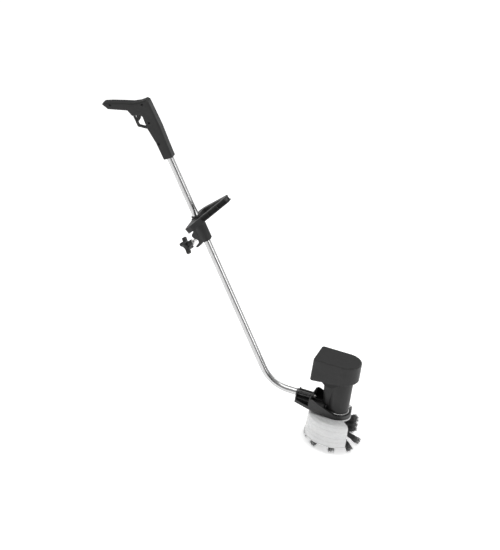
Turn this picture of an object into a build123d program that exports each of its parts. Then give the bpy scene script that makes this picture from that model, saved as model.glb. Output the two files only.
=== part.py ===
from build123d import *
import math
import os

os.makedirs("parts", exist_ok=True)

# ---------------------------------------------------------------- dimensions
# frame: origin on the free end of the motor spindle, +Z up along the motor
# axis, +X forward (away from the operator), +Y to the operator's left
ZB = 100.0                 # top plane of the bracket ring above the spindle tip

TUBE_R = 11.0              # outer radius of the shaft tube
TUBE_RI = 9.2
TUBE_Z = ZB + 20.0         # height of the horizontal run of the tube
TUBE_X0 = -84.5            # end of the tube against the bulkhead
CORNER_X = -224.1          # corner of the tube axis
BEND_R = 110.0
TX, TZ = -0.55300, 0.83318  # direction of the rising run
RUN = 860.4                # corner to the upper end of the tube
TUBE_END = (CORNER_X + TX * RUN, 0.0, TUBE_Z + TZ * RUN)
CORD_DROP = 6.4            # cord axis below the tube axis

GRIP_HALF = 16.0           # half width of the rear grip
RING_RO, RING_RI = 44.0, 30.0
RING_H = 14.0
COL_R = 35.5               # motor column of the cover
HEAD_R = 51.0
HEAD_BACK = -94.0
HEAD_Z0, HEAD_Z1 = ZB + 101.0, ZB + 178.0
CAN_RO, CAN_RI = 31.0, 28.6
SHAFT_R = 4.0
SPIGOT_R, SPIGOT_L = 3.5, 5.0      # turned-down free end of the spindle
GUARD_RO = 89.5
GUARD_T = 3.0
GUARD_A0, GUARD_A1 = -46.5, 70.0   # edges of the open front sector, degrees
HUB_R = 34.0
ROWS = 8
ROW_A0 = 15.0

# station of the front handle on the rising run
CLAMP_S = 546.5
CLAMP_O = (CORNER_X + TX * CLAMP_S, 0.0, TUBE_Z + TZ * CLAMP_S)
CLAMP = Plane(origin=CLAMP_O, x_dir=(-TZ, 0, TX), z_dir=(TX, 0, TZ))
SIDE = Plane(origin=CLAMP_O, x_dir=(-TZ, 0, TX), z_dir=(0, 1, 0))
LOOP = Plane(origin=(-558.0, 0, ZB + 504.0), x_dir=(0, -1, 0), z_dir=(-0.777, 0, 0.63))
KNOB_A, KNOB_B, KNOB_TILT = -29.0, 72.0, 14.4
KNOB_O = (CLAMP_O[0] + TX * KNOB_A - TZ * KNOB_B, 0.0, CLAMP_O[2] + TZ * KNOB_A + TX * KNOB_B)
NB = (TZ * math.cos(math.radians(KNOB_TILT)) + TX * math.sin(math.radians(KNOB_TILT)), 0.0,
      -TX * math.cos(math.radians(KNOB_TILT)) + TZ * math.sin(math.radians(KNOB_TILT)))
KNOB = Plane(origin=KNOB_O, x_dir=(0, 1, 0), z_dir=NB)


# ---------------------------------------------------------------- shaft tube
with BuildPart() as shaft_tube:
    with BuildLine(Plane.XZ) as tube_path:
        FilletPolyline((TUBE_X0, TUBE_Z), (CORNER_X, TUBE_Z),
                       (TUBE_END[0], TUBE_END[2]), radius=BEND_R)
    with BuildSketch(Plane(origin=(TUBE_X0, 0, TUBE_Z), x_dir=(0, 1, 0), z_dir=(-1, 0, 0))):
        Circle(TUBE_R)
        Circle(TUBE_RI, mode=Mode.SUBTRACT)
    sweep(path=tube_path.wires()[0])
shaft_tube.part.label = "shaft_tube"
export_step(shaft_tube.part, "parts/shaft_tube.step")

# cord inside the tube, lying on its lower side
CORD_CORNER = (CORNER_X - CORD_DROP * math.tan(math.radians(28.215)), TUBE_Z - CORD_DROP)
CORD_END = (TUBE_END[0] - TZ * CORD_DROP, TUBE_END[2] + TX * CORD_DROP)
with BuildPart() as power_cable:
    with BuildLine(Plane.XZ) as cable_path:
        FilletPolyline((-60.0, TUBE_Z - CORD_DROP), CORD_CORNER, CORD_END, radius=BEND_R + CORD_DROP)
    with BuildSketch(Plane(origin=(-60.0, 0, TUBE_Z - CORD_DROP), x_dir=(0, 1, 0), z_dir=(-1, 0, 0))):
        Circle(2.6)
    sweep(path=cable_path.wires()[0])
power_cable.part.label = "power_cable"
export_step(power_cable.part, "parts/power_cable.step")

# ---------------------------------------------------------------- rear grip
GRIP = [(-915, ZB + 814.5), (-892, ZB + 803.5), (-830, ZB + 818), (-812, ZB + 804.5),
        (-785.5, ZB + 816), (-779, ZB + 812), (-756.5, ZB + 775.5), (-722, ZB + 737),
        (-687, ZB + 687), (-660.5, ZB + 703.5), (-688, ZB + 747), (-716.5, ZB + 794.5),
        (-746, ZB + 836.5), (-769.5, ZB + 869.5), (-778.5, ZB + 872), (-797, ZB + 858),
        (-817.5, ZB + 848), (-849.5, ZB + 839.5), (-889, ZB + 828), (-909, ZB + 820.5)]
STRAP = [(-812, ZB + 804.5), (-789.5, ZB + 771), (-761.5, ZB + 772.5), (-750, ZB + 775),
         (-750, ZB + 790), (-790, ZB + 825), (-815, ZB + 815)]
STRAP_IN = [(-809.7, ZB + 806.1), (-786.5, ZB + 775.3), (-762.5, ZB + 776.8), (-757, ZB + 777),
            (-779, ZB + 813), (-787, ZB + 818)]
STRAP_HALF = 6.0
PIVOT = (-803.0, ZB + 827.0)
TRIG = [(-798, ZB + 824), (-791, ZB + 816), (-787, ZB + 806), (-787, ZB + 797), (-790, ZB + 789),
        (-794, ZB + 789.5), (-797, ZB + 797), (-800.5, ZB + 806), (-806, ZB + 815)]
TRIG_SWEEP = math.radians(6.0)
ARM_R = 12.0               # reach of the arm that lifts the switch plunger
LUG_R = 12.8               # reach of the lug that rests on the return spring
SCREWS = [(-887.0, ZB + 821.0), (-786.5, ZB + 854.0), (-753.7, ZB + 799.2), (-711.1, ZB + 737.6)]
SOCK_N = (-0.431, -0.902)
SOCK_O = (-903.5, ZB + 809.0)
SOCK = Plane(origin=(SOCK_O[0] - 10.0 * SOCK_N[0], 0, SOCK_O[1] - 10.0 * SOCK_N[1]),
             x_dir=(0, 1, 0), z_dir=(SOCK_N[0], 0, SOCK_N[1]))


def turned(points, centre, angle):
    out = []
    for x, z in points:
        dx, dz = x - centre[0], z - centre[1]
        out.append((centre[0] + dx * math.cos(angle) + dz * math.sin(angle),
                    centre[1] - dx * math.sin(angle) + dz * math.cos(angle)))
    return out


WIRE = [(-698.5, ZB + 738.5), (-741.0, ZB + 806.0), (-780.0, ZB + 845.0), (-805.6, ZB + 838.0)]
TUBE_BORE = Plane(origin=TUBE_END, x_dir=(0, 1, 0), z_dir=(-TX, 0, -TZ))


def grip_half(side):
    # side = +1 for the half towards -Y, -1 for the half towards +Y
    with BuildPart() as half:
        with BuildSketch(Plane.XZ) as outline:
            with BuildLine():
                Polyline(*GRIP, close=True)
            make_face()
            fillet(outline.vertices(), 1.6)
        extrude(amount=GRIP_HALF * side)
        outer = half.faces().sort_by(Axis.Y)[0 if side > 0 else -1]
        fillet(outer.edges(), 5.0)
        # narrow strap that closes the finger hole
        with BuildSketch(Plane.XZ) as strap:
            with BuildLine():
                Polyline(*STRAP, close=True)
            make_face()
            with BuildLine():
                Polyline(*STRAP_IN, close=True)
            make_face(mode=Mode.SUBTRACT)
        extrude(amount=STRAP_HALF * side)
        # bore for the tube and the cord channel above it
        with BuildSketch(TUBE_BORE):
            Circle(TUBE_R + 0.02)
        extrude(amount=70, mode=Mode.SUBTRACT)
        # wire channel from the tube to the switch
        with BuildSketch(Plane.XZ):
            with BuildLine():
                FilletPolyline(*WIRE, radius=6.0)
            trace(line_width=4.6)
        extrude(amount=2.6 * side, mode=Mode.SUBTRACT)
        # room for the trigger through its whole travel
        for k in range(5):
            a = TRIG_SWEEP * k / 4.0
            with BuildSketch(Plane.XZ):
                with BuildLine():
                    Polyline(*turned(TRIG, PIVOT, a), close=True)
                make_face()
                offset(amount=0.7, kind=Kind.ARC)
            extrude(amount=5.6 * side, mode=Mode.SUBTRACT)
        with BuildSketch(Plane.XZ):
            with Locations(PIVOT):
                Circle(7.2)
            with Locations((PIVOT[0] - 8.0, PIVOT[1] + 0.7)):
                Rectangle(16.5, 9.0)
        extrude(amount=5.6 * side, mode=Mode.SUBTRACT)
        # switch chamber and the channel between chamber and socket
        with BuildSketch(Plane.XZ):
            with Locations((PIVOT[0] - 14.0, PIVOT[1] + 9.75)):
                Rectangle(22.0, 9.5)
        extrude(amount=6.0 * side, mode=Mode.SUBTRACT)
        # spring pocket under the front lug
        with BuildSketch(Plane.XZ):
            with Locations((PIVOT[0] + 9.0, PIVOT[1] - 0.7)):
                Rectangle(18.0, 8.0)
        extrude(amount=5.6 * side, mode=Mode.SUBTRACT)
        with BuildSketch(Plane.XY.offset(PIVOT[1] - 9.9)):
            with Locations((PIVOT[0] + LUG_R, 0)):
                Circle(3.2)
        extrude(amount=8.0, mode=Mode.SUBTRACT)
        with BuildSketch(Plane.XZ):
            with Locations(PIVOT):
                Circle(2.0)
        extrude(amount=11.0 * side, mode=Mode.SUBTRACT)
        # power socket at the rear tip
        with BuildSketch(SOCK):
            Circle(5.5)
        extrude(amount=40, mode=Mode.SUBTRACT)
        # wire channel from the socket to the switch
        with BuildSketch(Plane.XZ):
            with BuildLine():
                Polyline((-899, ZB + 818.5), (-893, ZB + 814), (-826, ZB + 829), (-826, ZB + 835), close=True)
            make_face()
        extrude(amount=3.0 * side, mode=Mode.SUBTRACT)
        # assembly screws
        with BuildSketch(Plane.XZ):
            with Locations(*SCREWS):
                Circle(2.0)
        extrude(amount=(GRIP_HALF + 1 if side > 0 else 12.0) * side, mode=Mode.SUBTRACT)
        if side > 0:
            with BuildSketch(Plane.XZ.offset(GRIP_HALF - 6.0)):
                with Locations(*SCREWS):
                    Circle(3.7)
            extrude(amount=8.0, mode=Mode.SUBTRACT)
    return half.part


with BuildPart() as grip_half_right:
    add(grip_half(1))
grip_half_right.part.label = "grip_half_right"
export_step(grip_half_right.part, "parts/grip_half_right.step")

with BuildPart() as grip_half_left:
    add(grip_half(-1))
grip_half_left.part.label = "grip_half_left"
export_step(grip_half_left.part, "parts/grip_half_left.step")

with BuildPart() as grip_screws:
    with BuildSketch(Plane.XZ.offset(-12.0)):
        with Locations(*SCREWS):
            Circle(2.0)
    extrude(amount=GRIP_HALF - 6.0 + 12.0)
    with BuildSketch(Plane.XZ.offset(GRIP_HALF - 6.0)):
        with Locations(*SCREWS):
            Circle(3.4)
    extrude(amount=2.0)
    with BuildSketch(Plane.XZ.offset(GRIP_HALF - 5.4)):
        with Locations(*SCREWS):
            RegularPolygon(1.8, 6)
    extrude(amount=3.0, mode=Mode.SUBTRACT)
grip_screws.part.label = "grip_screws"
export_step(grip_screws.part, "parts/grip_screws.step")

with BuildPart() as trigger:
    with BuildSketch(Plane.XZ.offset(-5.0)) as blade:
        with BuildLine():
            Polyline(*TRIG, close=True)
        make_face()
        fillet(blade.vertices(), 1.2)
        with Locations(PIVOT):
            Circle(6.0)
    extrude(amount=10.0)
    with BuildSketch(Plane.XZ.offset(-4.0)):
        with Locations((PIVOT[0] - 8.0, PIVOT[1] + 1.0)):
            Rectangle(14.0, 3.0)
        with Locations((PIVOT[0] + 8.0, PIVOT[1])):
            Rectangle(16.0, 3.0)
    extrude(amount=8.0)
    with BuildSketch(Plane.XZ.offset(-6.0)):
        with Locations(PIVOT):
            Circle(2.06)
    extrude(amount=12.0, mode=Mode.SUBTRACT)
trigger.part.label = "trigger"
export_step(trigger.part, "parts/trigger.step")

with BuildPart() as trigger_pin:
    with BuildSketch(Plane.XZ.offset(-11.0)):
        with Locations(PIVOT):
            Circle(2.0)
    extrude(amount=22.0)
trigger_pin.part.label = "trigger_pin"
export_step(trigger_pin.part, "parts/trigger_pin.step")

with BuildPart() as trigger_spring:
    with BuildLine():
        Helix(pitch=2.2, height=7.2, radius=2.4,
              center=(PIVOT[0] + LUG_R, 0, PIVOT[1] - 9.3))
    with BuildSketch(Plane(origin=(PIVOT[0] + LUG_R + 2.4, 0, PIVOT[1] - 9.3), z_dir=(0, 1, 0))):
        Circle(0.4)
    sweep(is_frenet=True)
trigger_spring.part.label = "trigger_spring"
export_step(trigger_spring.part, "parts/trigger_spring.step")

with BuildPart() as micro_switch:
    with Locations((PIVOT[0] - 14.0, 0, PIVOT[1] + 10.3)):
        Box(20.0, 10.4, 8.3)
    with Locations((PIVOT[0] - ARM_R, 0, PIVOT[1] + 8.0)):
        Cylinder(1.6, 8.0, mode=Mode.SUBTRACT)
micro_switch.part.label = "micro_switch"
export_step(micro_switch.part, "parts/micro_switch.step")

with BuildPart() as switch_plunger:
    with BuildSketch(Plane.XY.offset(PIVOT[1] + 2.55)):
        with Locations((PIVOT[0] - ARM_R, 0)):
            Circle(1.5)
    extrude(amount=7.0)
switch_plunger.part.label = "switch_plunger"
export_step(switch_plunger.part, "parts/switch_plunger.step")

with BuildPart() as grip_wiring:
    with BuildLine(Plane.XZ) as wire_path:
        FilletPolyline(*WIRE, radius=6.0)
    wd = (WIRE[1][0] - WIRE[0][0], WIRE[1][1] - WIRE[0][1])
    with BuildSketch(Plane(origin=(WIRE[0][0], 0, WIRE[0][1]), x_dir=(0, 1, 0), z_dir=(wd[0], 0, wd[1]))):
        Circle(1.9)
    sweep(path=wire_path.wires()[0])
grip_wiring.part.label = "grip_wiring"
export_step(grip_wiring.part, "parts/grip_wiring.step")

with BuildPart() as power_socket:
    with BuildSketch(SOCK):
        Circle(5.5)
    extrude(amount=9.5)
    with BuildSketch(SOCK.offset(2.0)):
        Circle(4.0)
    extrude(amount=10.0, mode=Mode.SUBTRACT)
    with BuildSketch(SOCK.offset(0.5)):
        with Locations((-1.8, 0), (1.8, 0)):
            Circle(0.9)
    extrude(amount=1.5, mode=Mode.SUBTRACT)
power_socket.part.label = "power_socket"
export_step(power_socket.part, "parts/power_socket.step")

with BuildPart() as socket_contacts:
    with BuildSketch(SOCK.offset(0.5)):
        with Locations((-1.8, 0), (1.8, 0)):
            Circle(0.9)
    extrude(amount=1.5)
socket_contacts.part.label = "socket_contacts"
export_step(socket_contacts.part, "parts/socket_contacts.step")

# ---------------------------------------------------------------- front handle
LINER_RO = 13.4
with BuildPart() as handle_liner:
    with BuildSketch(CLAMP.offset(-27.0)):
        Circle(LINER_RO)
        Circle(TUBE_R + 0.06, mode=Mode.SUBTRACT)
    extrude(amount=83.0)
    with BuildSketch(CLAMP.offset(-29.5)):
        Circle(15.2)
        Circle(TUBE_R + 0.06, mode=Mode.SUBTRACT)
    extrude(amount=2.5)
    with BuildSketch(CLAMP.offset(56.0)):
        Circle(15.2)
        Circle(TUBE_R + 0.06, mode=Mode.SUBTRACT)
    extrude(amount=2.5)
handle_liner.part.label = "handle_liner"
export_step(handle_liner.part, "parts/handle_liner.step")

EAR = [(0, 26), (20, 26), (25.5, 20), (25.5, 12), (35.5, 3), (36, -3), (31, -13), (24.5, -14.5),
       (22, -20), (23, -27), (28, -32), (37, -36), (38, -40.5), (32, -41), (14, -34), (0, -26)]
with BuildPart() as clamp_body:
    with BuildSketch(CLAMP.offset(-26.0)):
        Circle(19.0)
    extrude(amount=52.0)
    with BuildSketch(SIDE.offset(-12.5)) as ear_profile:
        with BuildLine():
            Polyline(*EAR, close=True)
        make_face()
        fillet(ear_profile.vertices(), 1.1)
    extrude(amount=25.0)
    # saw cut that lets the clamp close on the liner
    with BuildSketch(CLAMP.offset(-60.0)):
        Circle(LINER_RO + 0.05)
        with Locations((-20, 0)):
            Rectangle(20.0, 2.4)
    extrude(amount=120.0, mode=Mode.SUBTRACT)
    with BuildSketch(CLAMP.offset(-60.0)):
        Circle(15.4)
    extrude(amount=33.8, mode=Mode.SUBTRACT)
    with BuildSketch(KNOB.offset(20.0)):
        Circle(4.0)
    extrude(amount=44.0, mode=Mode.SUBTRACT)
clamp_body.part.label = "clamp_body"
export_step(clamp_body.part, "parts/clamp_body.step")

LOOP_W, LOOP_L, LOOP_Y0 = 150.0, 145.0, -8.0
LOOP_Z0, LOOP_D = -11.0, 18.5
LOOP_OUT = [(-LOOP_W / 2, LOOP_Y0), (LOOP_W / 2, LOOP_Y0), (LOOP_W / 2, LOOP_Y0 + 24), (13, LOOP_L),
            (-13, LOOP_L), (-LOOP_W / 2, LOOP_Y0 + 24)]
LOOP_IN = [(-53, LOOP_Y0 + 27), (53, LOOP_Y0 + 27), (5, LOOP_L - 25), (-5, LOOP_L - 25)]
LOOP_FLANGE = 3.0
LOOP_CHANNEL = 8.0
with BuildPart() as loop_handle:
    with BuildSketch(LOOP.offset(LOOP_Z0)) as outer_tri:
        with BuildLine():
            Polyline(*LOOP_OUT, close=True)
        make_face()
        fillet(outer_tri.vertices(), 10.0)
    extrude(amount=LOOP_D)
    fillet(loop_handle.faces().sort_by(Axis(LOOP.origin, LOOP.z_dir))[-1].edges(), 1.3)
    # channel round the outer side
    with BuildSketch(LOOP.offset(LOOP_Z0 + LOOP_FLANGE), mode=Mode.PRIVATE) as chan:
        with BuildLine():
            Polyline(*LOOP_OUT, close=True)
        make_face()
        fillet(chan.vertices(), 10.0)
        offset(amount=4.0, kind=Kind.ARC)
        with BuildLine():
            Polyline(*LOOP_OUT, close=True)
        make_face()
    with BuildSketch(LOOP.offset(LOOP_Z0 + LOOP_FLANGE), mode=Mode.PRIVATE) as core:
        with BuildLine():
            Polyline(*LOOP_OUT, close=True)
        make_face()
        fillet(core.vertices(), 10.0)
        offset(amount=-LOOP_CHANNEL, kind=Kind.INTERSECTION)
    with BuildSketch(LOOP.offset(LOOP_Z0 + LOOP_FLANGE)):
        add(chan.sketch_local)
        add(core.sketch_local, mode=Mode.SUBTRACT)
        with Locations((0, LOOP_Y0 + 10.0)):
            Rectangle(300.0, 100.0, mode=Mode.SUBTRACT)
    extrude(amount=LOOP_D - 2 * LOOP_FLANGE, mode=Mode.SUBTRACT)
    # ribs across the channel
    for f in (0.46, 0.72, 0.95):
        for sgn in (-1, 1):
            x0 = sgn * (LOOP_W / 2 + (13.0 - LOOP_W / 2) * f)
            y0 = LOOP_Y0 + 24 + (LOOP_L - LOOP_Y0 - 24) * f
            with Locations(LOOP):
                with Locations(Location((x0 - sgn * 4.4, y0 - 2.2, LOOP_Z0 + LOOP_D / 2), (0, 0, sgn * 26.0))):
                    Box(8.4, 2.4, LOOP_D - 2 * LOOP_FLANGE)
    # open middle
    with BuildSketch(LOOP.offset(LOOP_Z0 - 2)) as inner_tri:
        with BuildLine():
            Polyline(*LOOP_IN, close=True)
        make_face()
        fillet(inner_tri.vertices(), 4.0)
    extrude(amount=LOOP_D + 4, mode=Mode.SUBTRACT)
    # collar where the tube crosses the base bar
    with BuildSketch(CLAMP.offset(26.0)):
        Circle(18.5)
    extrude(amount=24.0)
    with BuildSketch(CLAMP.offset(-60.0)):
        Circle(LINER_RO + 0.05)
    extrude(amount=160.0, mode=Mode.SUBTRACT)
    with BuildSketch(CLAMP.offset(-40.0)):
        Rectangle(300, 300)
    extrude(amount=66.0, mode=Mode.SUBTRACT)
loop_handle.part.label = "loop_handle"
export_step(loop_handle.part, "parts/loop_handle.step")

with BuildPart() as clamp_bolt:
    with BuildSketch(KNOB.offset(6.0)):
        Circle(4.0)
    extrude(amount=52.5)
clamp_bolt.part.label = "clamp_bolt"
export_step(clamp_bolt.part, "parts/clamp_bolt.step")

with BuildPart() as knob_washer:
    with BuildSketch(KNOB.offset(27.6)):
        Circle(9.0)
        Circle(4.08, mode=Mode.SUBTRACT)
    extrude(amount=1.6)
knob_washer.part.label = "knob_washer"
export_step(knob_washer.part, "parts/knob_washer.step")

with BuildPart() as star_knob:
    star_points = []
    for k in range(4):
        for rad, off in ((14.5, -24.0), (29.0, -9.5), (29.0, 9.5), (14.5, 24.0), (12.5, 45.0)):
            a = math.radians(52 + 90 * k + off)
            star_points.append((rad * math.cos(a), rad * math.sin(a)))
    with BuildSketch(KNOB.offset(-7.0)) as star:
        with BuildLine():
            Polyline(*star_points, close=True)
        make_face()
        fillet(star.vertices(), 2.0)
    extrude(amount=13.0)
    fillet(star_knob.faces().sort_by(Axis(KNOB_O, NB))[0].edges(), 1.6)
    fillet(star_knob.faces().sort_by(Axis(KNOB_O, NB))[-1].edges(), 1.0)
    with BuildSketch(KNOB.offset(6.0)):
        Circle(9.0)
    extrude(amount=21.5)
    with BuildSketch(KNOB.offset(0.0)):
        Circle(7.0)
    extrude(amount=27.5, mode=Mode.SUBTRACT)
star_knob.part.label = "star_knob"
export_step(star_knob.part, "parts/star_knob.step")

with BuildPart() as knob_insert:
    with BuildSketch(KNOB.offset(0.0)):
        Circle(7.0)
    extrude(amount=27.5)
    with BuildSketch(KNOB.offset(4.0)):
        Circle(4.08)
    extrude(amount=24.0, mode=Mode.SUBTRACT)
knob_insert.part.label = "knob_insert"
export_step(knob_insert.part, "parts/knob_insert.step")

# ---------------------------------------------------------------- motor bracket
with BuildPart() as motor_bracket:
    # collar ring with its groove
    with BuildSketch(Plane.XY.offset(ZB - RING_H)):
        Circle(RING_RO)
    extrude(amount=RING_H)
    # sloping floor between the cheeks
    with BuildSketch(Plane.XZ.offset(-46.5)):
        with BuildLine():
            Polyline((-84.5, ZB - 2.4), (-3, ZB - 13.3), (-3, ZB - 9.8), (-84.5, ZB + 1.1), close=True)
        make_face()
    extrude(amount=93.0)
    # side cheeks
    for y0 in (-46.5, 43.5):
        with BuildSketch(Plane.XZ.offset(-y0)) as cheek:
            with BuildLine():
                Polyline((-84.5, ZB + 33.0), (-76, ZB + 33.0), (11, ZB - 1.0), (11, ZB - 10),
                         (-3, ZB - 13.3), (-84.5, ZB - 2.4), close=True)
            make_face()
            fillet([v for v in cheek.vertices() if v.Z > ZB + 30], 3.0)
        extrude(amount=-3.0)
    # cross wall that the tube passes into
    with BuildSketch(Plane.YZ.offset(-84.5)) as wall:
        with Locations((0, ZB + 18.0)):
            Rectangle(93.0, 41.0)
        fillet(wall.vertices().sort_by(Axis.Z)[-2:], 20.0)
    extrude(amount=3.2)
    # narrow end flange
    with BuildSketch(Plane.YZ.offset(-134.0)) as flange:
        with Locations((0, ZB + 13.5)):
            Rectangle(52.0, 31.0)
        fillet(flange.vertices().sort_by(Axis.Z)[-2:], 7.0)
    extrude(amount=3.2)
    # tapering tongue under the tube
    with BuildSketch(Plane.XY.offset(ZB - 2.4)):
        with BuildLine():
            Polyline((-134, -26), (-134, 26), (-84.5, 46.5), (-84.5, -46.5), close=True)
        make_face()
    extrude(amount=3.2)
    for sy in (-1, 1):
        with BuildSketch(Plane.XY.offset(ZB + 0.8)):
            with BuildLine():
                Polyline((-134, sy * 26), (-134, sy * 23.2), (-84.5, sy * 43.7), (-84.5, sy * 46.5), close=True)
            make_face()
        extrude(amount=6.0)
    # ribs along both flanks of the saddle
    for zz in (ZB + 6.5, ZB + 12.5):
        with BuildSketch(Plane.XY.offset(zz)):
            with BuildLine():
                Polyline((-133, -23), (-133, 23), (-84.5, 30), (-84.5, -30), close=True)
            make_face()
        extrude(amount=1.8)
    # saddle that carries the tube
    with BuildSketch(Plane.YZ.offset(-131.0)):
        with Locations((0, ZB + 5.5)):
            Rectangle(16.0, 13.0)
    extrude(amount=47.0)
    # curved wall behind the motor column
    with BuildSketch(Plane.XY.offset(ZB)):
        Circle(43.0)
        Circle(40.4, mode=Mode.SUBTRACT)
        with Locations((30, 0)):
            Rectangle(60, 100, mode=Mode.SUBTRACT)
    extrude(amount=10.5)
    # bores
    with BuildSketch(Plane.XY.offset(ZB - RING_H - 2)):
        Circle(RING_RI)
    extrude(amount=60.0, mode=Mode.SUBTRACT)
    with BuildSketch(Plane.XY.offset(ZB - 3.0)):
        Circle(42.2)
        Circle(39.4, mode=Mode.SUBTRACT)
        with Locations((-30, 0)):
            Rectangle(60, 100, mode=Mode.SUBTRACT)
    extrude(amount=4.0, mode=Mode.SUBTRACT)
    with BuildSketch(Plane(origin=(-140, 0, TUBE_Z), x_dir=(0, 1, 0), z_dir=(1, 0, 0))):
        Circle(TUBE_R + 1.5)
    extrude(amount=55.5, mode=Mode.SUBTRACT)
    with BuildSketch(Plane(origin=(-100, 0, TUBE_Z), x_dir=(0, 1, 0), z_dir=(1, 0, 0))):
        with Locations((0, 1.8)):
            Circle(3.2)
        with Locations((0, -CORD_DROP)):
            Circle(3.2)
    extrude(amount=30, mode=Mode.SUBTRACT)
    with BuildSketch(Plane.XY.offset(ZB - RING_H - 1)):
        with PolarLocations(37.0, 4, start_angle=45):
            Circle(2.0)
    extrude(amount=12.0, mode=Mode.SUBTRACT)
motor_bracket.part.label = "motor_bracket"
export_step(motor_bracket.part, "parts/motor_bracket.step")

# ribbed sleeve between the tube and the bracket
with BuildPart() as tube_sleeve:
    with BuildSketch(Plane(origin=(TUBE_X0, 0, TUBE_Z), x_dir=(0, 1, 0), z_dir=(-1, 0, 0))):
        Circle(TUBE_R + 1.5)
        Circle(TUBE_R, mode=Mode.SUBTRACT)
    extrude(amount=53.0)
    with BuildSketch(Plane(origin=(TUBE_X0, 0, TUBE_Z), x_dir=(0, 1, 0), z_dir=(-1, 0, 0))):
        with PolarLocations(TUBE_R + 2.4, 7, start_angle=-168, angular_range=156):
            Rectangle(3.4, 2.2)
    extrude(amount=45.0)
tube_sleeve.part.label = "tube_sleeve"
export_step(tube_sleeve.part, "parts/tube_sleeve.step")

# threaded plug pressed into the tube end and the bolt that pulls it home
with BuildPart() as tube_plug:
    with BuildSketch(Plane(origin=(TUBE_X0, 0, TUBE_Z), x_dir=(0, 1, 0), z_dir=(-1, 0, 0))):
        Circle(TUBE_RI)
        with Locations((0, CORD_DROP)):
            Circle(3.0, mode=Mode.SUBTRACT)
            with Locations((0, 3)):
                Rectangle(6.0, 6.0, mode=Mode.SUBTRACT)
        with Locations((0, -1.8)):
            Circle(3.0, mode=Mode.SUBTRACT)
    extrude(amount=28.0)
tube_plug.part.label = "tube_plug"
export_step(tube_plug.part, "parts/tube_plug.step")

with BuildPart() as tube_lock_bolt:
    with BuildSketch(Plane(origin=(-81.3, 0, TUBE_Z + 1.8), x_dir=(0, 1, 0), z_dir=(1, 0, 0))):
        Circle(5.3)
    extrude(amount=1.4)
    with BuildSketch(Plane(origin=(-79.9, 0, TUBE_Z + 1.8), x_dir=(0, 1, 0), z_dir=(1, 0, 0))):
        RegularPolygon(5.0, 6)
    extrude(amount=4.6)
    with BuildSketch(Plane(origin=(-81.3, 0, TUBE_Z + 1.8), x_dir=(0, 1, 0), z_dir=(-1, 0, 0))):
        Circle(3.0)
    extrude(amount=24.0)
tube_lock_bolt.part.label = "tube_lock_bolt"
export_step(tube_lock_bolt.part, "parts/tube_lock_bolt.step")

# ---------------------------------------------------------------- motor cover
with BuildPart() as cover_room:
    with BuildSketch(Plane.XY.offset(ZB + 119.0)) as room:
        Circle(HEAD_R - 2.6)
        with Locations(((HEAD_BACK + 2.6) / 2, 0)):
            Rectangle(-HEAD_BACK - 2.6, 2 * HEAD_R - 5.2)
        fillet(room.vertices().sort_by(Axis.X)[:2], 4.0)
    extrude(amount=HEAD_Z1 - ZB - 119.0 - 2.8)
    fillet(cover_room.faces().sort_by(Axis.Z)[-1].edges(), 2.2)
    fillet(cover_room.faces().sort_by(Axis.Z)[0].edges(), 2.0)

with BuildPart() as motor_cover:
    with BuildSketch(Plane.XY.offset(HEAD_Z0)) as head:
        Circle(HEAD_R)
        with Locations((HEAD_BACK / 2, 0)):
            Rectangle(-HEAD_BACK, 2 * HEAD_R)
        fillet(head.vertices().sort_by(Axis.X)[:2], 8.5)
    extrude(amount=HEAD_Z1 - HEAD_Z0)
    fillet(motor_cover.faces().sort_by(Axis.Z)[-1].edges(), 3.5)
    # underside rises towards the front
    with BuildSketch(Plane.XZ.offset(-60)):
        with BuildLine():
            Polyline((HEAD_BACK - 6, HEAD_Z0 - 5), (60, HEAD_Z0 - 5), (60, HEAD_Z0 + 16),
                     (HEAD_BACK - 6, HEAD_Z0 - 0.6), close=True)
        make_face()
    extrude(amount=120.0, mode=Mode.SUBTRACT)
    fillet(motor_cover.faces().sort_by(Axis.Z)[0].edges(), 4.0)
    with BuildSketch(Plane.XY.offset(ZB + 4.0)):
        Circle(COL_R)
    extrude(amount=112.0)
    # rear web that carries the head over the column
    WEB = ((ZB + 18.0, 46.0, 50.0), (ZB + 84.0, 52.0, 58.0), (ZB + 110.0, 74.0, 84.0))
    for (za, da, wa), (zb, db, wb) in zip(WEB[:-1], WEB[1:]):
        with BuildSketch(Plane.XY.offset(za)) as web0:
            with Locations((-da / 2, 0)):
                Rectangle(da, wa)
            fillet(web0.vertices().sort_by(Axis.X)[:2], 14.0)
        with BuildSketch(Plane.XY.offset(zb)) as web1:
            with Locations((-db / 2, 0)):
                Rectangle(db, wb)
            fillet(web1.vertices().sort_by(Axis.X)[:2], 14.0)
        loft()
    # hollow for the motor and the electronics
    add(cover_room.part, mode=Mode.SUBTRACT)
    with BuildSketch(Plane.XY.offset(ZB)):
        Circle(COL_R - 2.6)
    extrude(amount=120.0, mode=Mode.SUBTRACT)
    with BuildSketch(Plane.XY.offset(ZB + 10.0)):
        with Locations((-30, 0)):
            Rectangle(14.6, 14)
    extrude(amount=111.0, mode=Mode.SUBTRACT)
motor_cover.part.label = "motor_cover"
export_step(motor_cover.part, "parts/motor_cover.step")

# ---------------------------------------------------------------- motor
with BuildPart() as motor_flange:
    with BuildSketch(Plane.XY.offset(ZB)):
        Circle(37.8)
    extrude(amount=4.0)
    chamfer(motor_flange.edges().filter_by(GeomType.CIRCLE).sort_by(Axis.Z)[-1], 0.8)
    with BuildSketch(Plane.XY.offset(ZB - 11.0)):
        Circle(14.5)
    extrude(amount=11.0)
    with BuildSketch(Plane.XY.offset(ZB - 9.0)):
        Circle(11.0)
    extrude(amount=13.0, mode=Mode.SUBTRACT)
    with BuildSketch(Plane.XY.offset(ZB - 12.0)):
        Circle(6.0)
    extrude(amount=4.0, mode=Mode.SUBTRACT)
motor_flange.part.label = "motor_flange"
export_step(motor_flange.part, "parts/motor_flange.step")

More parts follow.
